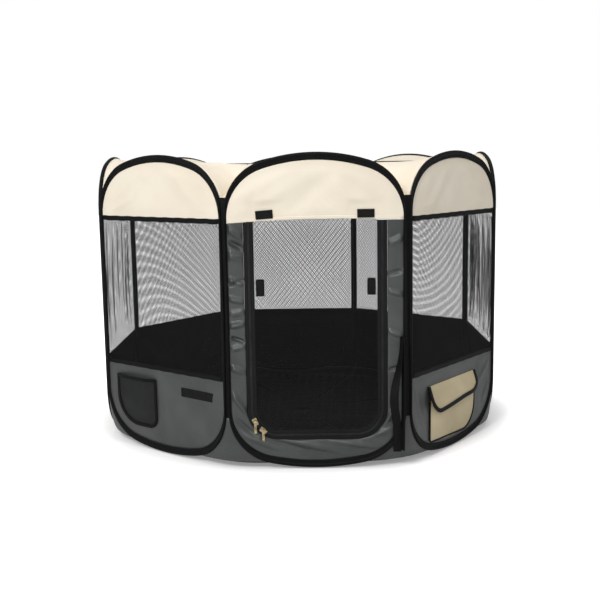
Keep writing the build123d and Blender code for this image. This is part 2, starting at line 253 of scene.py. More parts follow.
# %% [markdown]
# No cloth is one even colour. Broad clouds come from dye and handling, and fine flecks from uneven yarn.

# %% Tone
tree, given, result = group("tone", {"Place": None, "Cloud": 14.0, "Fleck": 900.0}, ["Tone", "Fleck"])
cloud = node(tree, "TexNoise", {"Vector": given["Place"], "Scale": given["Cloud"], "Detail": 3.0})
fleck = node(tree, "TexNoise", {"Vector": given["Place"], "Scale": given["Fleck"], "Detail": 1.0})
mixed = times(tree, cloud.outputs[0], 0.7)
mixed = plus(tree, mixed, times(tree, fleck.outputs[0], 0.3))
tree.links.new(ramp(tree, mixed, 0.34, 0.66), result.inputs["Tone"])
tree.links.new(fleck.outputs[0], result.inputs["Fleck"])
print("tone ready")

# %% [markdown]
# A row of stitches is a dashed line a set distance in from the edge: a narrow band across, cut into
# dashes along.

# %% Stitches
tree, given, result = group("stitches", {"Place": None, "Row": 2 * MM, "Pitch": 3.2 * MM}, ["Thread"])
split = node(tree, "SeparateXYZ", {0: given["Place"]}).outputs
off_row = calc(tree, "ABSOLUTE", calc(tree, "SUBTRACT", split[1], given["Row"]))
in_row = ramp(tree, off_row, 0.25 * MM, 0.45 * MM, 1.0, 0.0)
step = calc(tree, "FRACT", calc(tree, "DIVIDE", split[0], given["Pitch"]))
off_dash = calc(tree, "ABSOLUTE", calc(tree, "SUBTRACT", step, 0.5))
in_dash = ramp(tree, off_dash, 0.32, 0.42, 1.0, 0.0)
tree.links.new(times(tree, in_row, in_dash), result.inputs["Thread"])
print("stitches ready")

# %% [markdown]
# The window mesh is a knitted net of small diamond holes in staggered rows, a little taller than they are
# wide. The holes are the places near the points of two rectangular grids laid half a step apart. Adding
# the distances across and up, instead of measuring straight, is what makes them diamonds.

# %% Mesh holes
HOLE_TALL = 1.25  # how much taller than wide

tree, given, result = group("holes", {"Place": None, "Pitch": 3.4 * MM, "Open": 0.39}, ["Thread", "Ridge"])
inverse = calc(tree, "DIVIDE", 1.0, given["Pitch"])
rows = node(tree, "CombineXYZ", {0: inverse, 1: calc(tree, "DIVIDE", inverse, HOLE_TALL)}).outputs[0]
cell = node(tree, "VectorMath", {0: given["Place"], 1: rows}, operation="MULTIPLY").outputs[0]
distances = []
for shift in (0.0, 0.5):
    moved = node(tree, "VectorMath", {0: cell, 1: (shift, shift, 0)}, operation="ADD").outputs[0]
    within = node(tree, "VectorMath", {0: moved}, operation="FRACTION").outputs[0]
    centred = node(tree, "VectorMath", {0: within, 1: (0.5, 0.5, 0)}, operation="SUBTRACT").outputs[0]
    aside = node(tree, "VectorMath", {0: centred}, operation="ABSOLUTE").outputs[0]
    sides = node(tree, "SeparateXYZ", {0: aside})
    distances.append(plus(tree, sides.outputs[0], sides.outputs[1]))
nearest = calc(tree, "MINIMUM", *distances)
beyond = calc(tree, "SUBTRACT", nearest, given["Open"])
tree.links.new(ramp(tree, beyond, -0.02, 0.02), result.inputs["Thread"])
tree.links.new(ramp(tree, beyond, 0.0, 0.14), result.inputs["Ridge"])
print("holes ready")

# %% [markdown]
# A finish puts the groups together on one shader: two tones of one colour, a roughness that follows the
# tone, and a bump from the weave, the ribs and the stitches.

# %% Finish maker
finishes = {}


def tint(tree, shader, share, dark, light):
    """Colours a shader from dark to light."""
    colour = node(tree, "Mix", {0: share, 6: dark, 7: light}, data_type="RGBA")
    tree.links.new(colour.outputs[2], shader.inputs["Base Color"])


def emboss(tree, shader, height, strength, depth):
    """Gives a shader a bump."""
    bump = node(tree, "Bump", {"Height": height, "Strength": strength, "Distance": depth})
    tree.links.new(bump.outputs[0], shader.inputs["Normal"])


def start_finish(name, roughness, **fixed):
    """A new finish with the settings that are the same all over, and the cloth's own measure."""
    material = bpy.data.materials.new(name)
    material.use_nodes = True
    tree = material.node_tree
    shader = tree.nodes["Principled BSDF"]
    shader.inputs["Roughness"].default_value = roughness
    shader.inputs["Specular IOR Level"].default_value = 0.2
    for key, value in fixed.items():
        shader.inputs[key.replace("_", " ")].default_value = value
    place = node(tree, "UVMap", uv_map="lay").outputs[0]
    finishes[name] = material
    return tree, shader, place


def cloth_finish(name, dark, light, roughness, pitch, depth, cloud=14.0, stitch_row=None, ribs=None, **fixed):
    """A woven cloth or tape."""
    tree, shader, place = start_finish(name, roughness, **fixed)
    tone = use(tree, "tone", {"Place": place, "Cloud": cloud})
    height = use(tree, "weave", {"Place": place, "Pitch": pitch})["Height"]
    if ribs:
        along = node(tree, "SeparateXYZ", {0: place}).outputs[0]
        rib = calc(tree, "ABSOLUTE", calc(tree, "SINE", times(tree, along, pi / ribs)))
        height = plus(tree, height, times(tree, rib, 2.0))
    shade = plus(tree, times(tree, tone["Tone"], 0.75), times(tree, height, 0.2))
    if stitch_row:
        thread = use(tree, "stitches", {"Place": place, "Row": stitch_row})["Thread"]
        height = plus(tree, height, times(tree, thread, 4.0))
        shade = plus(tree, shade, times(tree, thread, 0.6))
    tint(tree, shader, shade, dark, light)
    rough = ramp(tree, tone["Fleck"], 0.3, 0.7, roughness - 0.06, roughness + 0.06)
    tree.links.new(rough, shader.inputs["Roughness"])
    emboss(tree, shader, height, 0.6, depth)


def mesh_finish(name, pitch, hole, dark, light):
    """A net of threads with open holes."""
    tree, shader, place = start_finish(name, 0.65)
    net = use(tree, "holes", {"Place": place, "Pitch": pitch, "Open": hole})
    tone = use(tree, "tone", {"Place": place, "Cloud": 9.0})
    cloud = plus(tree, times(tree, tone["Tone"], 0.5), 0.5)
    shade = times(tree, net["Ridge"], cloud)
    tint(tree, shader, shade, dark, light)
    tree.links.new(net["Thread"], shader.inputs["Alpha"])
    emboss(tree, shader, net["Ridge"], 0.5, 0.3 * MM)


print("finish makers ready")

# %% [markdown]
# The pen has twelve cloth finishes: a cream cotton at the top, a grey coated cloth below with a black
# lining, beige canvas for one pocket, a coated black floor, a black tape with a silky face, webbing, zip
# tape and its coil, hook tape, and two black nets.

# %% Cloth finishes
cloth_finish("cream_cloth", srgb(228, 217, 198), srgb(238, 230, 214), 0.85, 0.45 * MM, 0.08 * MM, 7.0)
cloth_finish("grey_cloth", srgb(48, 51, 51), srgb(71, 74, 74), 0.36, 0.55 * MM, 0.15 * MM, 11.0,
             Specular_IOR_Level=0.6)
cloth_finish("lining_cloth", srgb(6, 7, 7), srgb(13, 14, 14), 0.65, 0.55 * MM, 0.15 * MM, 11.0,
             Specular_IOR_Level=0.12)
cloth_finish("beige_cloth", srgb(180, 166, 134), srgb(203, 191, 161), 0.75, 0.6 * MM, 0.15 * MM, 12.0)
cloth_finish("floor_cloth", srgb(8, 9, 9), srgb(17, 18, 19), 0.55, 0.6 * MM, 0.15 * MM, 8.0)
cloth_finish(
    "black_binding", srgb(5, 5, 6), srgb(14, 15, 16), 0.55, 0.4 * MM, 0.12 * MM, 18.0,
    stitch_row=2.2 * MM, ribs=1.1 * MM, Specular_IOR_Level=0.12,
)
cloth_finish(
    "black_webbing", srgb(6, 6, 7), srgb(16, 17, 18), 0.55, 0.9 * MM, 0.3 * MM, 20.0,
    stitch_row=2.0 * MM, ribs=2.0 * MM, Specular_IOR_Level=0.12,
)
cloth_finish("zip_tape", srgb(8, 8, 9), srgb(17, 18, 19), 0.6, 0.5 * MM, 0.1 * MM, 20.0, ribs=0.9 * MM)
cloth_finish("zip_coil", srgb(16, 16, 18), srgb(42, 43, 46), 0.35, 0.9 * MM, 0.4 * MM, 30.0, ribs=1.4 * MM)
cloth_finish("hook_tape", srgb(8, 8, 9), srgb(22, 23, 24), 0.8, 1.1 * MM, 0.5 * MM, 60.0, stitch_row=1.6 * MM)
mesh_finish("black_mesh", 4.3 * MM, 0.352, srgb(8, 8, 9), srgb(24, 25, 26))
mesh_finish("pocket_mesh", 2.6 * MM, 0.31, srgb(14, 14, 15), srgb(36, 37, 38))
print("cloth finishes:", len(finishes))

# %% [markdown]
# The zip's metal is die cast and plated yellow, so it is smooth with faint clouds of wear, and the wire is
# bare spring steel.

# %% Metal finishes


def metal_finish(name, dark, light, roughness):
    tree, shader, _ = start_finish(name, roughness, Metallic=1.0)
    place = node(tree, "TexCoord").outputs["Object"]
    tone = use(tree, "tone", {"Place": place, "Cloud": 120.0, "Fleck": 2500.0})
    tint(tree, shader, tone["Tone"], dark, light)
    worn = ramp(tree, tone["Tone"], 0.0, 1.0, roughness - 0.08, roughness + 0.12)
    tree.links.new(worn, shader.inputs["Roughness"])


metal_finish("zip_metal", srgb(122, 106, 78), srgb(204, 188, 154), 0.3)
metal_finish("sprung_wire", srgb(120, 122, 126), srgb(170, 172, 175), 0.32)
print("finishes:", sorted(finishes))

# %% [markdown]
# ## Making a piece
# Every soft piece is a net of points: rows along it and points across it. One function turns such rows
# into a mesh, writes the lay map, gives it a finish, and sets it on its panel.

# %% Piece maker
made = {}


def running(points):
    """Distances along a line of points."""
    total = [0.0]
    for a, b in zip(points, points[1:]):
        total.append(total[-1] + (b - a).length)
    return total


def build(name, rows, finish, place=None, round_along=False, round_across=False, flat=False):
    """A mesh through rows of points. flat lays the cloth by its x and z, as on a panel."""
    rows = [[Vector(point) for point in row] for row in rows]
    count, width = len(rows), len(rows[0])
    along = running([row[0] for row in rows] + [rows[0][0]] * round_along)
    across = running(rows[0] + [rows[0][0]] * round_across)
    faces, lay = [], []
    for i in range(count if round_along else count - 1):
        for j in range(width if round_across else width - 1):
            corners = ((i, j), (i + 1, j), (i + 1, j + 1), (i, j + 1))
            faces.append([(a % count) * width + b % width for a, b in corners])
            for a, b in corners:
                point = rows[a % count][b % width]
                lay.append((point.x, point.z) if flat else (along[a], across[b]))
    if round_across and not round_along:
        for row, order in ((0, 1), (count - 1, -1)):
            faces.append([row * width + b for b in range(width)][::order])
            lay += [(along[row], across[b]) for b in range(width)][::order]
    data = bpy.data.meshes.new(name)
    data.from_pydata([point for row in rows for point in row], [], faces)
    layer = data.uv_layers.new(name="lay")
    layer.data.foreach_set("uv", [value for pair in lay for value in pair])
    data.polygons.foreach_set("use_smooth", [True] * len(faces))
    data.materials.append(finishes[finish])
    piece = bpy.data.objects.new(name, data)
    bpy.context.scene.collection.objects.link(piece)
    if place is not None:
        piece.matrix_world = place
    made[name] = piece
    return piece


def face_area(piece):
    return sum(face.area for face in piece.data.polygons)


def thicken(piece, thickness=CLOTH_T, lining=None):
    """Gives a cloth its thickness, inwards from its outer face, and a lining if it has one."""
    shell = piece.modifiers.new("thickness", "SOLIDIFY")
    shell.thickness = thickness
    shell.offset = -1
    if lining:
        piece.data.materials.append(finishes[lining])
        shell.material_offset = 1
    return piece


print("piece maker ready")

# %% [markdown]
# Tapes, straps, patches and hems are the same thing at different widths: a flat band with softly rounded
# edges swept along a line.

# %% Tape maker
TAPE_EDGE = (
    (-0.5, 0), (-0.48, 0.4), (-0.44, 0.5), (-0.2, 0.5), (0, 0.5), (0.2, 0.5), (0.44, 0.5), (0.48, 0.4),
    (0.5, 0), (0.48, -0.4), (0.44, -0.5), (0, -0.5), (-0.44, -0.5), (-0.48, -0.4),
)
OUTWARD = Vector((0, -1, 0))  # out of a panel's face
UP = Vector((0, 0, 1))


def tape_rows(line, across, width, thickness, out=OUTWARD):
    """Rows of a flat band. across and out may be one direction or one for each point of the line."""
    rows = []
    for i, point in enumerate(line):
        side = across[i] if isinstance(across, list) else across
        face = out[i] if isinstance(out, list) else out
        rows.append([Vector(point) + side * (a * width) + face * (b * thickness) for a, b in TAPE_EDGE])
    return rows


def ribbon(name, finish, panel, body, rows):
    """A tape, cord or strap through such rows, set on a panel and riding on a body."""
    piece = build(name, rows, finish, places[panel], round_across=True)
    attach(piece, body)
    return piece


def smooth(value):
    """An even rise from 0 to 1."""
    value = min(max(value, 0.0), 1.0)
    return value * value * (3 - 2 * value)


print("tape maker ready")

# %% [markdown]
# ## Bindings
# A black tape is folded over the wire and sewn through both faces of the cloth. In section it is a round
# bead, where it wraps the wire, with two thin lips. The lips are wide at the arches and narrow down the
# sides. The tape is gathered a little round the tight corners, so the bead and lips ripple there.

# %% Bindings
LIP_T = 0.8 * MM  # half the binding's thickness at its lip
BEAD_STEPS = 12
BEAD_START, BEAD_SWEEP = radians(22), radians(316)  # the bead is open towards the cloth


def binding_section(centre, inward, width, ripple):
    """Points round the bead and both lips. inward points from the wire into the cloth."""
    radius = TUBE_R + 0.6 * MM + 0.12 * MM * ripple
    front = []
    for i in range(4):
        share = i / 4
        lift = LIP_T + 0.35 * MM * sin(pi * share) + 0.25 * MM * ripple * sin(pi * share)
        front.append((width + (radius - width) * share, lift if i else LIP_T * 0.6))
    bead = []
    for i in range(BEAD_STEPS + 1):
        angle = BEAD_START + BEAD_SWEEP * i / BEAD_STEPS
        bead.append((radius * cos(angle), radius * sin(angle)))
    section = front + bead + [(a, -b) for a, b in front[::-1]]
    return [centre + inward * a + OUTWARD * b for a, b in section]


def binding(panel):
    wire, edge = outline(TUBE_R), outline(BAND_SIDE, BAND - BAND_SIDE)
    rows = []
    for i, ((x, z), (edge_x, edge_h)) in enumerate(zip(wire, edge)):
        centre = Vector((x, 0, z))
        across = Vector((edge_x, 0, edge_h)) - centre
        at_corner = smooth((abs(x) - 0.09) / 0.03) * smooth((abs(z - 0.3) - 0.16) / 0.05)
        seed = Vector((i * 0.55, panel * 7.0, 0.0))
        ripple = noise.noise(seed) * (0.5 + 1.6 * at_corner)
        rows.append(binding_section(centre, across.normalized(), across.length, ripple))
    piece = build("tape_" + NAMES[panel], rows, "black_binding", places[panel], True, True)
    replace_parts(piece, "binding_" + NAMES[panel])
    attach(piece, bodies[panel])


def refinish(name, finish):
    """Gives one of the frame's own parts a finish."""
    part = frame["nodes"][name]
    part.data.materials.clear()
    part.data.materials.append(finishes[finish])


for panel in range(8):
    binding(panel)
    refinish("frame_wire_" + NAMES[panel], "sprung_wire")
print("bindings: 8")

# %% [markdown]
# ## Stretched cloths
# Each cloth is a grid of columns that stops exactly at the binding. Its surface stands a little in or out
# of the panel's plane: a gentle swell, slow waves, and soft folds that run along lines where the sprung
# wire pulls the cloth. Near every seam it comes back to the plane.

# %% Cloth maker
FOLD_DEPTH = 2.0  # how deep the folds are, as a whole


def bell(off):
    """1 at the middle, and almost nothing two steps away."""
    return 2.718 ** (-off * off)


def fold(x, z, start, end, width, height):
    """A soft fold along a line from start to end, fading at both ends. Sizes are in millimetres."""
    ax, az = start[0] * MM, start[1] * MM
    dx, dz = end[0] * MM - ax, end[1] * MM - az
    length = sqrt(dx * dx + dz * dz)
    along = ((x - ax) * dx + (z - az) * dz) / (length * length)
    if not 0 < along < 1:
        return 0.0
    off = ((x - ax) * dz - (z - az) * dx) / length / (width * MM)
    return height * FOLD_DEPTH * MM * sin(pi * along) ** 0.8 * bell(off)


def waves(x, z, seed, size, height):
    """Slow uneven waves of about the given size across."""
    return noise.noise(Vector((x / size, z / size, seed))) * height


def relief(folds, swell, seed, size=0.09, height=1.2 * MM):
    """The out-of-plane shape of a cloth."""

    def shape(x, z):
        total = swell + waves(x, z, seed, size, height) + waves(x, z, seed + 9, size / 3, height / 4)
        return total + sum(fold(x, z, *each) for each in folds)

    return shape


HELD = 0.12  # how much of a fold is left under something sewn on
HELD_EASE = 14 * MM  # how far outside it the fold is whole again


def flat_under(area, shape):
    """The same shape, but flat behind something sewn on: left, right, low and high in millimetres."""
    left, right, low, high = [side * MM for side in area]

    def held_flat(x, z):
        outside = max(left - x, x - right, low - z, z - high)
        return shape(x, z) * (HELD + (1 - HELD) * smooth(outside / HELD_EASE))

    return held_flat


def cloth(name, panel, finish, low, high, shape, steps, half=FIELD_HALF, depth=CLOTH_T / 2, ease=24):
    """A sheet of cloth in a panel between two heights, which may change along the panel."""
    rows, area, last = [], 0.0, None
    lowest, highest = 1.0, 0.0
    for i in range(steps[0] + 1):
        x = half * sin(pi / 2 * (2 * i / steps[0] - 1))
        foot, head = low(x), high(x)
        lowest, highest = min(lowest, foot), max(highest, head)
        row = []
        for j in range(steps[1] + 1):
            z = foot + (head - foot) * j / steps[1]
            room = min(half - abs(x), z - foot, head - z)
            row.append((x, -depth - shape(x, z) * smooth(room / (ease * MM)), z))
        if last:
            area += (x - last[0]) * (head - foot + last[1]) / 2
        last = (x, head - foot)
        rows.append(row)
    piece = build(name, rows, finish, places[panel], flat=True)
    piece["flat_size"] = [2 * half, highest - lowest, area]
    return piece


def sewn(piece, body):
    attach(piece, body)


def arch_top(x):
    return edge_z(x, 1)


def arch_foot(x):
    return edge_z(x, -1)


print("cloth maker ready")

# %% [markdown]
# ## Cream tops
# The arch of each panel is cream cotton. On the front panel it hangs a little slack, with broad folds
# that fan out from the middle of the arch to the corners, and its lower hem bows up slightly. On the
# others it ends in a black band.

# %% Cream tops
TOP_FOLDS = {
    "front": [
        ((20, 580), (-150, 478), 16, 1.9), ((50, 578), (-70, 470), 13, -1.2),
        ((-20, 585), (-165, 500), 12, 1.3), ((0, 575), (120, 470), 15, 1.7),
        ((-30, 578), (70, 470), 13, -1.2), ((40, 580), (160, 492), 13, 1.5),
        ((-110, 545), (-120, 476), 10, -0.9), ((110, 545), (130, 476), 10, -0.8),
    ],
    "front_left": [
        ((-10, 585), (-130, 480), 13, 1.4), ((-40, 560), (-150, 484), 8, -1.2),
        ((-60, 520), (-150, 482), 6, 1.1), ((30, 580), (130, 482), 15, 1.3),
    ],
    "front_right": [
        ((0, 585), (140, 482), 15, 1.5), ((-20, 575), (-120, 480), 13, 1.2),
        ((60, 530), (150, 486), 8, -1.0),
    ],
}
FAN = [((20, 580), (-140, 480), 14, 1.2), ((-20, 580), (140, 480), 14, 1.2)]
PATCH_AREAS = ((72, 116, 474, 502), (-116, -72, 474, 502))
HEM_BOW = 5 * MM


def cream_foot(x):
    """The lower edge of the front's cream cloth, which bows up in its middle."""
    share = x / FIELD_HALF
    return CREAM_Z - 2 * MM + 1.4 * MM * share + HEM_BOW * (1 - share**2)


for panel, name in enumerate(NAMES):
    shape = relief(TOP_FOLDS.get(name, FAN), 1.4 * MM, 3.0 + panel, 0.075, 2.0 * MM)
    low = lambda x: CREAM_Z
    if name == "front":
        low = cream_foot
        for area in PATCH_AREAS:
            shape = flat_under(area, shape)
    piece = cloth("top_" + name, panel, "cream_cloth", low, arch_top, shape, (72, 34))
    sewn(thicken(piece), bodies[panel])
    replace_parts(piece, "cream_cloth_" + name)
across_field = [FIELD_HALF * (i / 20 - 1) for i in range(41)]
rows = tape_rows([Vector((x, -0.9 * MM, cream_foot(x) + 3 * MM)) for x in across_field], UP, 6 * MM, 0.9 * MM)
ribbon("front_hem", "cream_cloth", 0, bodies[0], rows)
print("cream tops: 8")

# %% [markdown]
# ## Windows
# Seven panels have a window of black net between two black cross bands. Seen at a slant, the net of the
# side panels falls in a few upright folds. The net is one layer of thread, so it gets no thickness of its
# own.

# %% Windows and cross bands
WALLS = list(enumerate(NAMES))[1:]  # every panel but the front
BAND_T = 2.4 * MM
LEFT_FOLDS = (-130, -95, -60, -10, 45, 100)
RIGHT_FOLDS = (-140, -120, -98, -72, -45, -15, 15, 45, 75, 100, 125, 142)
WINDOW_FOLDS = {
    "left": [((x, 490), (x + 6, 160), 6, 3.5) for x in LEFT_FOLDS],
    "right": [((x, 490), (x - 6, 160), 4, 4.7) for x in RIGHT_FOLDS],
}
for panel, name in WALLS:
    shape = relief(WINDOW_FOLDS.get(name, []), 0.8 * MM, 21.0 + panel, 0.12, 1.4 * MM)
    low, high = lambda x: GREY_Z, lambda x: CREAM_Z
    piece = cloth("net_" + name, panel, "black_mesh", low, high, shape, (60, 30), depth=0)
    sewn(piece, bodies[panel])
    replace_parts(piece, "mesh_window_" + name)
    for label, z in (("upper", CREAM_Z), ("lower", GREY_Z)):
        line = []
        for i in range(31):
            line.append(Vector((FIELD_HALF * (i / 15 - 1), 0, z + 0.5 * MM * sin(i * 1.9 + panel))))
        rows = tape_rows(line, UP, CROSS_BAND, BAND_T)
        ribbon(f"{label}_band_{name}", "black_binding", panel, bodies[panel], rows)
print("windows: 7, cross bands: 14")

# %% [markdown]
# ## Lower cloths
# Below the windows the walls are grey coated cloth outside and black inside. They are looser than the
# tops, with creases left from folding the pen away.

# %% Lower cloths
LOWER_FOLDS = {
    "front_left": [
        ((-150, 160), (-60, 60), 7, 1.4), ((-150, 120), (-70, 30), 6, -1.1), ((0, 170), (30, 20), 9, 1.0),
    ],
    "front_right": [
        ((-160, 160), (-110, 40), 6, 1.3), ((160, 160), (100, 110), 6, 1.3), ((120, 60), (160, 120), 6, 1.0),
    ],
}
CREASES = [((-150, 150), (-40, 60), 8, 1.5), ((150, 150), (50, 70), 8, 1.4), ((-20, 165), (10, 20), 8, -1.2)]
POCKET_AREAS = {"front_left": (-135, -24, 45, 150), "front_right": (-100, 92, 25, 150)}
for panel, name in WALLS:
    shape = relief(LOWER_FOLDS.get(name, CREASES), 0.8 * MM, 40.0 + panel, 0.06, 1.3 * MM)
    if name in POCKET_AREAS:
        shape = flat_under(POCKET_AREAS[name], shape)
    piece = cloth("lower_" + name, panel, "grey_cloth", arch_foot, lambda x: GREY_Z, shape, (64, 30), ease=16)
    sewn(thicken(piece, CLOTH_T, "lining_cloth"), bodies[panel])
    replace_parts(piece, "lower_cloth_" + name)
print("lower cloths: 7")

# %% [markdown]
# ## Door
# The front panel is mostly door. A grey border is left round it, cut to the U of the zip. Each half of
# the zip is a tape with a coil along its edge. The inner half belongs to the door, with the net sewn into
# it, so the whole door rolls up about its top edge.

# %% Door outline
ZIP_OUTER = 134 * MM
ZIP_BOTTOM = 57 * MM
ZIP_CORNER_R = 60 * MM
ZIP_HALF = 9.6 * MM
DOOR_TOP = CREAM_Z - 0.5 * MM


def door_line(inset, straight=90, bend=20):
    """Points and outward directions down the left side of the door's U, round it and up the right side."""
    half, corner = ZIP_OUTER - inset, ZIP_CORNER_R - inset
    centre_x, centre_z = ZIP_OUTER - ZIP_CORNER_R, ZIP_BOTTOM + ZIP_CORNER_R
    left = [(-half, DOOR_TOP + (centre_z - DOOR_TOP) * i / straight, -1, 0) for i in range(straight)]
    for i in range(bend + 1):
        angle = pi / 2 * i / bend
        out = (-cos(angle), -sin(angle))
        left.append((-centre_x + corner * out[0], centre_z + corner * out[1], *out))
    foot = [(-centre_x * (1 - i / straight), ZIP_BOTTOM + inset, 0, -1) for i in range(1, straight + 1)]
    left += foot
    right = [(-x, z, -a, b) for x, z, a, b in left[::-1]][1:]
    return [(Vector((x, 0, z)), Vector((a, 0, b))) for x, z, a, b in left + right]


def to_binding(point, out):
    """How far it is from a point to the binding, going out."""
    near, far = 0.0, 0.2
    for _ in range(22):
        middle = (near + far) / 2
        at = point + out * middle
        inside = abs(at.x) < FIELD_HALF and arch_foot(at.x) < at.z < arch_top(at.x)
        near, far = (middle, far) if inside else (near, middle)
    return near


print("door line:", len(door_line(0)), "points")

# %% [markdown]
# The border is narrow and unstiffened, so it crumples: short folds run across it at the sides, and long
# lazy ones follow the foot.

# %% Door border
BORDER_FOLDS = [
    ((-178, 474), (-128, 440), 7, 4.6), ((-178, 446), (-126, 420), 5, -3.2),
    ((-178, 418), (-128, 402), 7, 3.4), ((-180, 372), (-128, 356), 5, 4.6),
    ((-180, 352), (-128, 368), 4, -3.6), ((-180, 336), (-128, 322), 5, 4.2),
    ((-176, 300), (-130, 306), 6, 2.4), ((-180, 276), (-128, 284), 5, 4.2),
    ((-180, 262), (-128, 246), 4, -3.8), ((-176, 232), (-130, 240), 5, 2.8),
    ((-178, 205), (-128, 186), 6, 3.4), ((-170, 160), (-124, 96), 5, 3.6),
    ((-162, 104), (-116, 62), 5, -2.6), ((-150, 72), (-60, 34), 6, 3.4),
    ((-110, 62), (-10, 32), 5, -2.6), ((-60, 56), (60, 30), 6, 3.2),
    ((20, 54), (130, 40), 5, 3.0), ((178, 450), (128, 424), 6, 3.2),
    ((178, 330), (128, 344), 5, 3.4), ((178, 250), (128, 268), 5, 3.2),
    ((160, 130), (122, 82), 5, 3.2), ((178, 200), (128, 190), 4, -2.8),
    ((178, 384), (128, 372), 5, -2.8), ((90, 60), (150, 78), 5, 2.6),
]
shape = relief(BORDER_FOLDS, 0.8 * MM, 71.0, 0.045, 2.0 * MM)
rows, area, length, widest = [], 0.0, 0.0, 0.0
for point, out in door_line(0, 240, 40):
    reach = to_binding(point, out)
    widest = max(widest, reach)
    row = []
    for j in range(17):
        at = point + out * reach * (1 - j / 16)
        room = min(reach * j / 16, reach * (1 - j / 16) + 2 * MM, DOOR_TOP - at.z + 2 * MM)
        row.append((at.x, -CLOTH_T / 2 - shape(at.x, at.z) * smooth(room / (7 * MM)), at.z))
    if rows:
        step = sum((Vector(row[end]) - Vector(rows[-1][end])).length for end in (0, -1)) / 2
        length += step
        area += step * reach
    rows.append(row)
border = build("door_border", rows, "grey_cloth", places[0], flat=True)
border["flat_size"] = [length, widest, area]
sewn(thicken(border, CLOTH_T, "lining_cloth"), bodies[0])
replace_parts(border, "door_surround")
print("door border:", round(area, 4), "m2")

# %% [markdown]
# Zip tapes are woven narrow and lie flat. The coil is a nylon thread wound in a tight helix and sewn
# along the tape's edge, which reads as a fine ribbed cord.

# %% Zip
COIL_R = 1.1 * MM
COIL_RING = [(cos(a), sin(a)) for a in (2 * pi * i / 8 for i in range(8))]


def zip_tape(name, inner, outer, body, node_name):
    """One half of the zip's tape, between two insets."""
    line = door_line((inner + outer) / 2)
    across = [out for _, out in line]
    rows = tape_rows([p - Vector((0, 0.1 * MM, 0)) for p, _ in line], across, outer - inner, 1.4 * MM)
    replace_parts(ribbon(name, "zip_tape", 0, body, rows), node_name)


def coil(name, inset, body):
    """The coil along one edge of the zip, as a ribbed cord."""
    rows = []
    for point, out in door_line(inset, 90, 24):
        centre = point + Vector((0, -1.0 * MM, 0))
        rows.append([centre + out * (COIL_R * a) + Vector((0, -COIL_R * 0.8 * b, 0)) for a, b in COIL_RING])
    ribbon(name, "zip_coil", 0, body, rows)


zip_tape("zip_outer_tape", 0.2 * MM, ZIP_HALF - 0.2 * MM, bodies[0], "door_zip_tape")
zip_tape("zip_inner_tape", ZIP_HALF + 0.2 * MM, 2 * ZIP_HALF, "door", "door_edge_tape")
coil("zip_outer_coil", ZIP_HALF - 1.0 * MM, bodies[0])
coil("zip_inner_coil", ZIP_HALF + 1.0 * MM, "door")
print("zip: 2 tapes and 2 coils")

# %% [markdown]
# The door's net fills the U inside the zip. A patch of hook tape near each side holds the door open
# against its partner on the cream top when it is rolled up.

# %% Door net and patches


def door_foot(x):
    """Lower edge of the door's net."""
    bend = ZIP_OUTER - ZIP_CORNER_R
    corner = ZIP_CORNER_R - 2 * ZIP_HALF
    if abs(x) <= bend:
        return ZIP_BOTTOM + 2 * ZIP_HALF
    return ZIP_BOTTOM + ZIP_CORNER_R - sqrt(max(corner**2 - (abs(x) - bend) ** 2, 0))


DOOR_FOLDS = [((-40, 470), (-60, 90), 22, 1.0), ((60, 470), (80, 100), 20, 0.9)]
shape = relief(DOOR_FOLDS, 0.6 * MM, 90.0, 0.14, 1.2 * MM)
net_half = ZIP_OUTER - 2 * ZIP_HALF
net_top = lambda x: cream_foot(x) + 1 * MM
net = cloth("door_net", 0, "black_mesh", door_foot, net_top, shape, (64, 50), half=net_half, depth=0)
sewn(net, "door")
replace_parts(net, "door_mesh")


HOOK_T = 1.5 * MM


def patch(name, panel, x, z, size, body, turn=0.0, lift=1.2 * MM):
    """A sewn patch of tape, whose corners are cut round."""
    width, height = size
    along = Vector((sin(turn), 0, cos(turn)))
    side = Vector((cos(turn), 0, -sin(turn)))
    rows = []
    for i in range(13):
        t = i / 6 - 1
        round_off = 1 - 0.09 * smooth((abs(t) - 0.85) / 0.15)
        centre = Vector((x, -lift, z)) + along * (height / 2 * sin(pi / 2 * t))
        thickness = HOOK_T * (1 - 0.4 * smooth((abs(t) - 0.9) * 10))
        rows += tape_rows([centre], side, width * round_off, thickness)
    return ribbon(name, "hook_tape", panel, body, rows)


HEADER_X, HEADER_Z = 94 * MM, 487 * MM
DOOR_PATCH_X, DOOR_PATCH_Z = 104 * MM, 351 * MM
LONG, SHORT = 32 * MM, 16 * MM
PATCHES = (
    ("header_patch_left", -HEADER_X, HEADER_Z, (LONG, SHORT), bodies[0], -0.07, 2.2 * MM),
    ("header_patch_right", HEADER_X, HEADER_Z, (LONG, SHORT), bodies[0], 0.0, 2.2 * MM),
    ("door_patch_left", -DOOR_PATCH_X, DOOR_PATCH_Z, (SHORT, LONG), "door", 0.0, 1.2 * MM),
    ("door_patch_right", DOOR_PATCH_X, DOOR_PATCH_Z, (SHORT, LONG), "door", 0.0, 1.2 * MM),
)
for name, *rest in PATCHES:
    patch(name, 0, *rest)
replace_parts(made["header_patch_left"], "header_patches")
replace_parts(made["door_patch_left"], "door_patches")
print("door net and 4 patches")

# %% [markdown]
# The sliders and their pull tabs are the frame's own cast parts, with the yellow metal finish.

# %% Sliders
METAL = ("door_slider_upper", "door_slider_lower", "door_pull_upper", "door_pull_lower", "roof_slider")
for name in METAL:
    refinish(name, "zip_metal")
print("metal parts:", len(METAL))

# %% [markdown]
# ## Pockets
# A pocket is a sheet sewn down at its sides and foot with more width than the wall behind it, so it
# stands out at its open mouth. Its outline has two rounded lower corners of different sizes. A tape binds
# its edge.

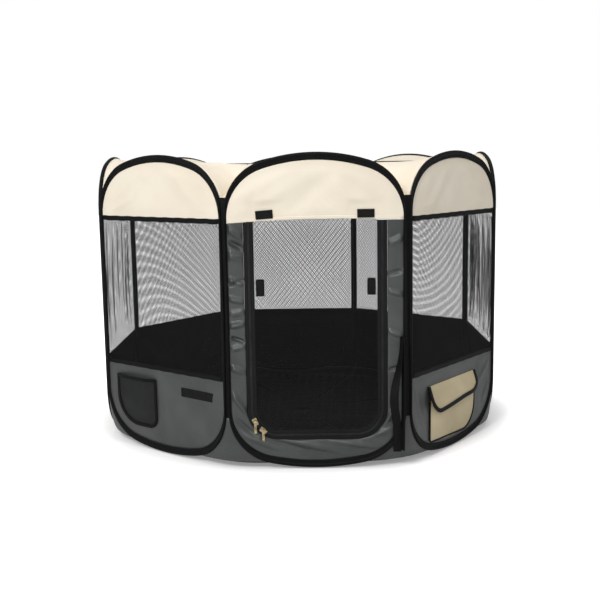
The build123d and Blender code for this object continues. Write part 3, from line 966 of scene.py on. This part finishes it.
# %% Pocket maker
BACK = -CLOTH_T / 2 - 1.2 * MM  # just outside the wall's cloth
EDGE_LIFT = 0.8 * MM  # how far a pocket's tape stands off its cloth
EDGE_T = 1.8 * MM
POCKET_RISE = 45 * MM  # height over which a pocket leaves the wall
POCKET_TURN = 34 * MM  # and width, at its sides and at a drawn mouth


class Pocket:
    """A pocket's outline: left, right, low and high in millimetres, with the lower corners' radii.

    sag is how much lower the foot is in its middle, and draw how much the mouth is drawn in, as a share."""

    def __init__(self, left, right, low, high, depth, left_r, right_r, sag=0.0, draw=0.0):
        self.left, self.right, self.low, self.high = [side * MM for side in (left, right, low, high)]
        self.depth, self.left_r, self.right_r = depth * MM, left_r * MM, right_r * MM
        self.sag, self.draw = sag * MM, draw

    def dip(self, x):
        """How much lower the foot is at x than a straight one."""
        return self.sag * max(sin(pi * (x - self.left) / (self.right - self.left)), 0)

    def foot(self, x):
        """Lower edge at x."""
        for edge, radius, side in ((self.left, self.left_r, 1), (self.right, self.right_r, -1)):
            inward = (x - edge) * side
            if inward < radius:
                return self.low + radius - sqrt(max(radius**2 - (radius - inward) ** 2, 0)) - self.dip(x)
        return self.low - self.dip(x)

    def stand_out(self, x, z):
        """How far the pocket stands out of the wall."""
        side = min(x - self.left, self.right - x)
        up = smooth((z - self.foot(x)) / POCKET_RISE)
        up *= 1 - self.draw * smooth((z - self.high + POCKET_TURN) / POCKET_TURN)
        return self.depth * sqrt(smooth(side / POCKET_TURN)) * up + waves(x, z, 5.0, 0.03, 0.7 * MM) * up

    def edge(self, count=26):
        """Points down the left side, along the foot and up the right side."""
        drop = self.low + self.left_r - self.high
        points = [(self.left, self.high + drop * i / count) for i in range(count)]
        corners = ((self.left, self.left_r, 0.0, 1), (self.right, self.right_r, pi / 2, -1))
        for edge, radius, start, side in corners:
            centre = (edge + side * radius, self.low + radius)
            for i in range(17):
                angle = start + pi / 2 * i / 16
                points.append((centre[0] - radius * cos(angle), centre[1] - radius * sin(angle)))
        rise = self.high - self.low - self.right_r
        points += [(self.right, self.low + self.right_r + rise * i / count) for i in range(1, count + 1)]
        tall = self.high - self.low
        return [(x, z - self.dip(x) * smooth((self.high - z) / tall)) for x, z in points]


def pocket_sheet(name, panel, pocket, finish, steps=(48, 26)):
    rows, area, last = [], 0.0, None
    for i in range(steps[0] + 1):
        x = pocket.left + (pocket.right - pocket.left) * (1 - cos(pi * i / steps[0])) / 2
        foot = pocket.foot(x)
        heights = [foot + (pocket.high - foot) * j / steps[1] for j in range(steps[1] + 1)]
        rows.append([(x, BACK - pocket.stand_out(x, z), z) for z in heights])
        if last:
            area += (x - last[0]) * (pocket.high - foot + last[1]) / 2
        last = (x, pocket.high - foot)
    piece = build(name, rows, finish, places[panel], flat=True)
    piece["flat_size"] = [pocket.right - pocket.left + pocket.depth, pocket.high - pocket.low, area]
    return piece


def follow(name, panel, points, body, width):
    """A binding tape that follows an open line of points on a panel."""
    across, faces = [], []
    for i in range(len(points)):
        run = (points[min(i + 1, len(points) - 1)] - points[max(i - 1, 0)]).normalized()
        side = run.cross(OUTWARD).normalized()
        across.append(side)
        faces.append(run.cross(side).normalized() * (-1 if run.cross(side).y > 0 else 1))
    rows = tape_rows(points, across, width, EDGE_T, faces)
    ribbon(name, "black_binding", panel, body, rows)


print("pocket maker ready")

# %% [markdown]
# The net pocket on the panel to the left of the front has one large lower corner and one small one, and
# tape all the way round. A strip of hook tape above it holds a rolled lead or a tag.

# %% Net pocket
NET_TAPE = 7 * MM
net_pocket = Pocket(-135, -24, 49, 149, 8, 58, 20)
piece = pocket_sheet("net_pocket", 7, net_pocket, "pocket_mesh")
sewn(piece, bodies[7])
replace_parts(piece, "mesh_pocket")
sides = [Vector((x, BACK - EDGE_LIFT - net_pocket.stand_out(x, z) * 0.5, z)) for x, z in net_pocket.edge()]
follow("net_pocket_edge", 7, sides, bodies[7], NET_TAPE)
mouth = []
for i in range(33):
    x = net_pocket.left + (net_pocket.right - net_pocket.left) * i / 32
    z = net_pocket.high - 2 * MM
    mouth.append(Vector((x, BACK - EDGE_LIFT - net_pocket.stand_out(x, z), z)))
follow("net_pocket_mouth", 7, mouth, bodies[7], NET_TAPE)
strip = patch("hook_tape_strip", 7, 95 * MM, 135 * MM, (90 * MM, 18 * MM), bodies[7])
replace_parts(strip, "hook_strip")
print("net pocket and hook strip")

# %% [markdown]
# The canvas pocket on the panel to the right of the front holds treats. Its flap is sewn along the top
# and hangs over the mouth, bound at its sides and foot.

# %% Canvas pocket
canvas_pocket = Pocket(-98, 84, 29, 113, 11, 6, 45, sag=6, draw=0.55)
piece = pocket_sheet("canvas_pocket", 1, canvas_pocket, "beige_cloth")
sewn(thicken(piece), bodies[1])
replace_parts(piece, "flap_pocket")
sides = []
for x, z in canvas_pocket.edge():
    sides.append(Vector((x, BACK - 0.6 * MM - canvas_pocket.stand_out(x, z) * 0.3, z)))
follow("canvas_pocket_edge", 1, sides, bodies[1], 3.6 * MM)

FLAP_LEFT, FLAP_RIGHT, FLAP_TOP, FLAP_FOOT = -102 * MM, 83 * MM, 143 * MM, 91 * MM
FLAP_OUT, FLAP_CORNER = 16.3 * MM, 30 * MM


def flap_point(x, down):
    """A point of the flap: down is 0 at its sewn edge and 1 at its foot."""
    swell = 1.6 * MM * sin(pi * down) + waves(x, down * 0.05, 8.0, 0.04, 0.7 * MM)
    z = FLAP_TOP + (FLAP_FOOT - FLAP_TOP) * down
    return Vector((x, -1.6 * MM - (FLAP_OUT - 2.5 * MM) * down - swell, z))


def flap_length(x):
    """How far down the flap reaches at x, as a share, with round lower corners."""
    inward = min(x - FLAP_LEFT, FLAP_RIGHT - x)
    cut = FLAP_CORNER - sqrt(max(FLAP_CORNER**2 - max(FLAP_CORNER - inward, 0) ** 2, 0))
    rise = 13 * MM * smooth((x - FLAP_LEFT) / (FLAP_RIGHT - FLAP_LEFT))
    return 1 - (cut * (1 - rise / (40 * MM)) + rise) / (FLAP_TOP - FLAP_FOOT)


columns = [FLAP_LEFT + (FLAP_RIGHT - FLAP_LEFT) * (1 - cos(pi * i / 60)) / 2 for i in range(61)]
rows = [[flap_point(x, flap_length(x) * (1 - j / 14)) for j in range(15)] for x in columns]
flap = build("canvas_flap", rows, "beige_cloth", places[1], flat=True)
flap["flat_size"] = [FLAP_RIGHT - FLAP_LEFT, 56 * MM, 0.93 * (FLAP_RIGHT - FLAP_LEFT) * 54.5 * MM]
sewn(thicken(flap), "pocket_flap")
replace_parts(flap, "pocket_flap")
down_left = [flap_point(FLAP_LEFT, flap_length(FLAP_LEFT) * i / 12) for i in range(12)]
along_foot = [flap_point(x, flap_length(x)) for x in columns]
up_right = [flap_point(FLAP_RIGHT, flap_length(FLAP_RIGHT) * (1 - i / 12)) for i in range(1, 13)]
edge = [point + Vector((0, -0.5 * MM, 0)) for point in down_left + along_foot + up_right]
follow("canvas_flap_edge", 1, edge, "pocket_flap", 8.5 * MM)
print("canvas pocket and flap")

# %% [markdown]
# ## Carry strap
# A loop of webbing on the front panel's right side, sewn to the wall at its top and over the binding at
# its foot. The outer strand leaves its upper seam on edge and lies flat lower down. The other returns
# beside the seam, nearly on edge all the way.

# %% Carry strap
STRAP_W, STRAP_T = 16 * MM, 2 * MM
STRAP_HEAD, STRAP_FOOT = Vector((160, -9, 256)) * MM, Vector((152, -4.4, 32)) * MM
STRAP_BELLY = 23 * MM


def turned(angle):
    """Directions across a strap's width and out of its face, when it is turned about the upright."""
    return Vector((cos(angle), -sin(angle), 0)), Vector((-sin(angle), -cos(angle), 0))


line, across, out = [], [], []
for i in range(49):
    t = i / 48
    bow = sin(pi * smooth((t - 0.05) / 0.9)) ** 1.2
    line.append(STRAP_HEAD.lerp(STRAP_FOOT, t) + Vector((-12 * MM * bow, -STRAP_BELLY * bow * 0.9, 0)))
    wide, face = turned(radians(74) * (1 - smooth((t - 0.12) / 0.5)))
    across.append(wide)
    out.append(face)
rows = tape_rows(line, across, STRAP_W, STRAP_T, out)
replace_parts(ribbon("strap", "black_webbing", 0, bodies[0], rows), "carry_handle")
line = [Vector((162, -10 - 7 * sin(pi * i / 24), 255 - 219 * i / 24)) * MM for i in range(25)]
wide, face = turned(radians(66))
rows = tape_rows(line, wide, STRAP_W * 0.8, STRAP_T, face)
ribbon("strap_return", "black_webbing", 0, bodies[0], rows)
print("carry strap")

# %% [markdown]
# ## Seams and gussets
# Neighbouring panels are joined by a narrow strip between their bindings, and below it, where the panels'
# rounded feet part, by a bent triangle of cloth. At the one seam where the frame's loop is left open, the
# strip belongs to one panel only, and the triangle is in two halves, one for each panel.

# %% Seams and gussets
OPEN_SEAM = 5
GUSSET_BULGE = 0.11  # of its width


def across_seam(piece, seam):
    """Puts a piece at a seam: on the panel before it at the open seam, and elsewhere fixed where it is made.
    """
    before = (seam - 1) % 8
    if seam == OPEN_SEAM:
        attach(piece, bodies[before])
        return
    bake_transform(piece)


def flattens(piece, panel):
    """A loose cloth that rides on its own panel."""
    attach(piece, bodies[panel])
    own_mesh(piece)


def seam_rows(seam, heights, reach, bulge):
    """Rows between matching points of the two panels beside a seam."""
    rows = []
    before = (seam - 1) % 8
    outward = Vector((seams[seam].x, seams[seam].y, 0)).normalized()
    for z, half in heights:
        a = places[before] @ Vector((half, reach, z))
        b = places[seam] @ Vector((-half, reach, z))
        most = bulge * (a - b).length
        rows.append([a.lerp(b, j / 12) + outward * most * sin(pi * j / 12) for j in range(13)])
    return rows


_, _, foot_z, corner_r, foot_lean = end_arc(0, 0, -1)
_, _, head_z, _, _ = end_arc(0, 0, 1)
for seam in range(8):
    straight = []
    for i in range(45):
        z = foot_z - 20 * MM + (head_z - foot_z + 52 * MM) * i / 44
        past = max(z - head_z, foot_z - z, 0)
        straight.append((z, ARC_X + sqrt(CORNER_R**2 - past**2) - 1.5 * MM))
    strip = build(f"seam_strip_{seam}", seam_rows(seam, straight, 1.5 * MM, 0.0), "black_binding")
    across_seam(thicken(strip), seam)

    turn, tuck = radians(84) - foot_lean, corner_r - 2 * MM
    corner = []
    for i in range(19):
        angle = foot_lean + turn * i / 18
        corner.append((foot_z - tuck * cos(angle), ARC_X + tuck * sin(angle)))
    rows = seam_rows(seam, corner, 0.4 * MM, GUSSET_BULGE)[::-1]
    before = (seam - 1) % 8
    parts = [("", rows, (before, seam))]
    if seam == OPEN_SEAM:
        parts = [("_a", [row[:7] for row in rows], (before,)), ("_b", [row[6:] for row in rows], (seam,))]
    for label, rows, panels in parts:
        gusset = build(f"gusset_{seam}{label}", rows, "grey_cloth")
        widest = max((row[0] - row[-1]).length for row in rows)
        area = face_area(gusset)
        thicken(gusset, CLOTH_T, "lining_cloth")
        if label:
            flattens(gusset, panels[0])
        else:
            across_seam(gusset, seam)
        if seam == 0:
            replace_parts(gusset, "corner_gussets")
print("seams: 8 strips, 9 gussets")

# %% [markdown]
# ## Roof
# A cream rim is sewn to the arches just inside their bindings, dips between neighbouring arches, and
# rises to a round zip. It is cut in eight gores, one to a panel, and each gore rides on its panel. The round
# cover of net inside the zip lifts off.

# %% Roof rim
RING_R = 294 * MM
RING_Z = 580 * MM
RING_BAND = 10 * MM
RIM_INSET = 5 * MM
DIP_Z = 515 * MM
DIP_INSET = 9 * MM
DIP_X = 166 * MM  # where a gore leaves its arch for the dip


def dip_point(seam):
    flat = seams[seam] * (1 - DIP_INSET / seams[seam].length)
    return Vector((flat.x, flat.y, DIP_Z))


GORE_FOLDS = (-0.42, -0.2, 0.24, 0.45)
CREST = {"front_left": 4.5, "left": 4.5, "front": 3.0}  # in millimetres
GORE_STEPS = 14
for panel, name in enumerate(NAMES):
    xs = [DIP_X * sin(pi / 2 * (i / 22 - 1)) for i in range(45)]
    outer = [dip_point(panel)]
    outer += [places[panel] @ Vector((x, RIM_INSET, edge_z(x, 1, 0, 0) - TUBE_R)) for x in xs]
    outer.append(dip_point((panel + 1) % 8))
    rows = []
    for i, point in enumerate(outer):
        angle = atan2(point.y, point.x)
        radius = RING_R + RING_BAND - 1 * MM
        inner = Vector((radius * cos(angle), radius * sin(angle), RING_Z))
        share = i / (len(outer) - 1) * 2 - 1
        row = []
        for j in range(GORE_STEPS + 1):
            t = j / GORE_STEPS
            sag = -5 * MM * sin(pi * t) * (1 - 0.4 * abs(share))
            pleat = sum(bell((share - at * (1 - 0.3 * t)) / 0.05) for at in GORE_FOLDS)
            lift = 1.8 * MM * pleat * sin(pi * t) + waves(share, t, panel * 3.0, 0.5, 1.6 * MM) * sin(pi * t)
            lift += CREST.get(name, 0.0) * MM * bell((t - 0.84) / 0.14) * (1 - max(share, 0) ** 2)
            row.append(point.lerp(inner, t) + Vector((0, 0, sag + lift)))
        rows.append(row)
    gore = build("rim_gore_" + name, rows, "cream_cloth")
    area = face_area(gore)
    thicken(gore)
    flattens(gore, panel)
    if panel == 0:
        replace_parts(gore, "roof_rim")
print("rim: 8 gores")

# %% [markdown]
# The round zip has the same make as the door's: two tapes with a coil on each. The outer one is sewn to
# the rim and the inner one to the cover.

# %% Roof zip and cover


def ring_line(radius, start, end, count):
    """Points and outward directions along a circle round the middle of the roof."""
    turns = [start + (end - start) * i / count for i in range(count + 1)]
    return [(Vector((radius * cos(a), radius * sin(a), RING_Z)), Vector((cos(a), sin(a), 0))) for a in turns]


def ring_tape(name, inner, outer, start, end, count=24, closed=False):
    line = ring_line((inner + outer) / 2, start, end, count)[: count if closed else count + 1]
    rows = tape_rows([p for p, _ in line], [out for _, out in line], outer - inner, 1.6 * MM, UP)
    return build(name, rows, "zip_tape", round_along=closed, round_across=True)


def ring_coil(name, radius, start, end, count, closed=False):
    rows = []
    for point, out in ring_line(radius, start, end, count)[: count if closed else count + 1]:
        rows.append([point + out * (COIL_R * a) + UP * (0.9 * MM + COIL_R * 0.8 * b) for a, b in COIL_RING])
    return build(name, rows, "zip_coil", round_along=closed, round_across=True)


def lay_from_above(piece):
    """Lays a level cloth's map by its x and y."""
    layer = piece.data.uv_layers["lay"]
    for loop in piece.data.loops:
        layer.data[loop.index].uv = piece.data.vertices[loop.vertex_index].co.xy


for panel, name in enumerate(NAMES):
    start = atan2(seams[panel].y, seams[panel].x)
    end = atan2(seams[(panel + 1) % 8].y, seams[(panel + 1) % 8].x)
    end += 2 * pi * (end < start)
    tape = ring_tape("ring_tape_" + name, RING_R, RING_R + RING_BAND, start, end)
    flattens(tape, panel)
    flattens(ring_coil("ring_coil_" + name, RING_R + 1.6 * MM, start, end, 20), panel)
    if panel == 0:
        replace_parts(tape, "roof_zip")


def lifts(piece):
    """A piece of the roof cover, which rides on the cover's own body."""
    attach(piece, "roof_cover")
    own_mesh(piece)


lifts(ring_tape("cover_tape", RING_R - RING_BAND, RING_R - 0.3 * MM, 0, 2 * pi, 160, True))
lifts(ring_coil("cover_coil", RING_R - 1.6 * MM, 0, 2 * pi, 160, True))
rows = []
for i in range(25):
    radius = (RING_R - RING_BAND + 1 * MM) * (0.02 + 0.98 * i / 24)
    sag = -7 * MM * (1 - (i / 24) ** 2)
    row = []
    for j in range(96):
        x, y = radius * cos(2 * pi * j / 96), radius * sin(2 * pi * j / 96)
        row.append((x, y, RING_Z + sag + waves(x, y, 50.0, 0.1, 1.2 * MM) * (1 - i / 24)))
    rows.append(row)
cover = build("cover_net", rows, "black_mesh", round_across=True)
lay_from_above(cover)
lifts(cover)
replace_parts(cover, "roof_mesh")
print("roof zip: 8 lengths, cover: net, tape and coil")

# %% [markdown]
# ## Floor
# The floor is black coated cloth, one gore to a panel, sewn to the feet of the panels and lying almost
# flat.

# %% Floor
FLOOR_HALF = 89 * MM
FLOOR_T = 1.5 * MM
FLOOR_STEPS = 20


def floor_edge(panel, x):
    """The floor's edge climbs with the arch of the panel's foot."""
    return places[panel] @ Vector((x, 1.5 * MM, edge_z(x, -1, 0, 0) + 3 * MM))


def floor_between(a, b, share):
    """The floor's edge between two panels, along the gusset's foot."""
    middle = (a + b) / 2
    outward = Vector((middle.x, middle.y, 0)).normalized()
    return a.lerp(b, share) + outward * (GUSSET_BULGE * (a - b).length + 0.5 * MM) * sin(pi * share)


for panel, name in enumerate(NAMES):
    near, far = (panel - 1) % 8, (panel + 1) % 8
    left, right = floor_edge(panel, -FLOOR_HALF), floor_edge(panel, FLOOR_HALF)
    rim = [floor_between(floor_edge(near, FLOOR_HALF), left, 0.5 + i / 8) for i in range(4)]
    rim += [floor_edge(panel, FLOOR_HALF * (i / 8 - 1)) for i in range(17)]
    rim += [floor_between(right, floor_edge(far, -FLOOR_HALF), i / 8) for i in range(1, 5)]
    rows = []
    for point in rim:
        row = []
        for j in range(FLOOR_STEPS + 1):
            share = (j / FLOOR_STEPS) ** 1.6
            flat = point * (1 - 0.995 * share)
            ripple = abs(waves(flat.x, flat.y, 33.0, 0.12, 3.0 * MM)) * sin(pi * min(share * 1.02, 1))
            climb = (point.z - FLOOR_T) * (1 - smooth(share * 12))
            row.append(Vector((flat.x, flat.y, FLOOR_T + climb + ripple)))
        rows.append(row)
    gore = build("floor_gore_" + name, rows, "floor_cloth")
    lay_from_above(gore)
    thicken(gore, FLOOR_T * 0.9)
    area = sum(abs(a.x * b.y - a.y * b.x) / 2 for a, b in zip(rim, rim[1:]))
    flattens(gore, panel)
    if panel == 0:
        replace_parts(gore, "floor_mat")
print("floor: 8 gores")

# %% [markdown]
# ## Studio
# A pale floor that glows white for the camera, and glows less near the pen, which paints shade round its
# foot; a white surround, a large soft light from the front left and above, and a weaker one from the right.

# %% Studio
stage = bpy.data.materials.new("studio_floor")
stage.use_nodes = True
tree = stage.node_tree
shader = tree.nodes["Principled BSDF"]
shader.inputs["Roughness"].default_value = 0.9
spread = node(tree, "TexNoise", {"Scale": 3.0, "Vector": node(tree, "TexCoord").outputs["Object"]})
tint(tree, shader, spread.outputs[0], (0.86, 0.86, 0.86, 1), (0.89, 0.89, 0.89, 1))
shader.inputs["Emission Color"].default_value = (1, 1, 1, 1)
seen = node(tree, "LightPath").outputs["Is Camera Ray"]
here = node(tree, "TexCoord").outputs["Object"]
away = node(tree, "VectorMath", {0: here}, operation="LENGTH").outputs["Value"]
# Painted shade: the floor's glow drops near the pen, so a darker ring is painted round its foot where its
# shadow falls.
GLOW_FROM, GLOW_FULL = 0.42, 0.56  # metres from the middle; nearer in, the floor glows less
glow_and_painted_shade = ramp(tree, away, GLOW_FROM, GLOW_FULL, 0.25, 1.0)
tree.links.new(times(tree, seen, glow_and_painted_shade), shader.inputs["Emission Strength"])
data = bpy.data.meshes.new("studio_floor")
SPAN = 9.0
data.from_pydata([(-SPAN, -SPAN, 0), (SPAN, -SPAN, 0), (SPAN, SPAN, 0), (-SPAN, SPAN, 0)], [], [(0, 1, 2, 3)])
data.materials.append(stage)
floor = bpy.data.objects.new("studio_floor", data)
floor.location.z = -0.0005
bpy.context.scene.collection.objects.link(floor)

world = bpy.data.worlds.new("studio")
world.use_nodes = True
tree = world.node_tree
background = tree.nodes["Background"]
seen = node(tree, "LightPath").outputs["Is Camera Ray"]
level = node(tree, "Mix", {0: seen, 2: 0.42, 3: 1.0}, data_type="FLOAT")
tree.links.new(level.outputs[0], background.inputs["Strength"])
background.inputs["Color"].default_value = (1, 1, 1, 1)
bpy.context.scene.world = world


def soft_light(name, place, target, size, power, colour=(1, 1, 1)):
    """A large square light that looks at a point."""
    data = bpy.data.lights.new(name, "AREA")
    data.shape = "SQUARE"
    data.size, data.energy, data.color = size, power, colour
    light = bpy.data.objects.new(name, data)
    bpy.context.scene.collection.objects.link(light)
    light.location = place
    light.rotation_euler = (Vector(target) - Vector(place)).to_track_quat("-Z", "Y").to_euler()


soft_light("key_light", (-1.3, -2.6, 2.4), (0, 0, 0.3), 1.2, 63, (1.0, 0.99, 0.98))
soft_light("top_light", (0.2, -0.4, 2.8), (0, -0.1, 0.3), 1.6, 22)
soft_light("fill_light", (2.4, -1.6, 1.8), (0, 0, 0.3), 1.8, 5)
print("studio ready")

# %% [markdown]
# ## Camera
# The camera looks at the front panel from just above the pen's own height, tipped down a little, from
# about two metres away.

# %% Camera
CAMERA_PLACE = (-0.0045, -2.1245, 0.580)
TIP, ROLL = 8.43, 0.91  # degrees
LENS = 55.35  # millimetres
lens = bpy.data.cameras.new("camera")
lens.lens = LENS
camera = bpy.data.objects.new("camera", lens)
bpy.context.scene.collection.objects.link(camera)
turn = Matrix.Rotation(radians(90 - TIP), 4, "X") @ Matrix.Rotation(radians(-ROLL), 4, "Z")
camera.matrix_world = Matrix.Translation(CAMERA_PLACE) @ turn
bpy.context.scene.camera = camera
bpy.context.scene.view_settings.view_transform = "Standard"
print("camera ready")

# %% Finish
print("pieces made:", len(made))
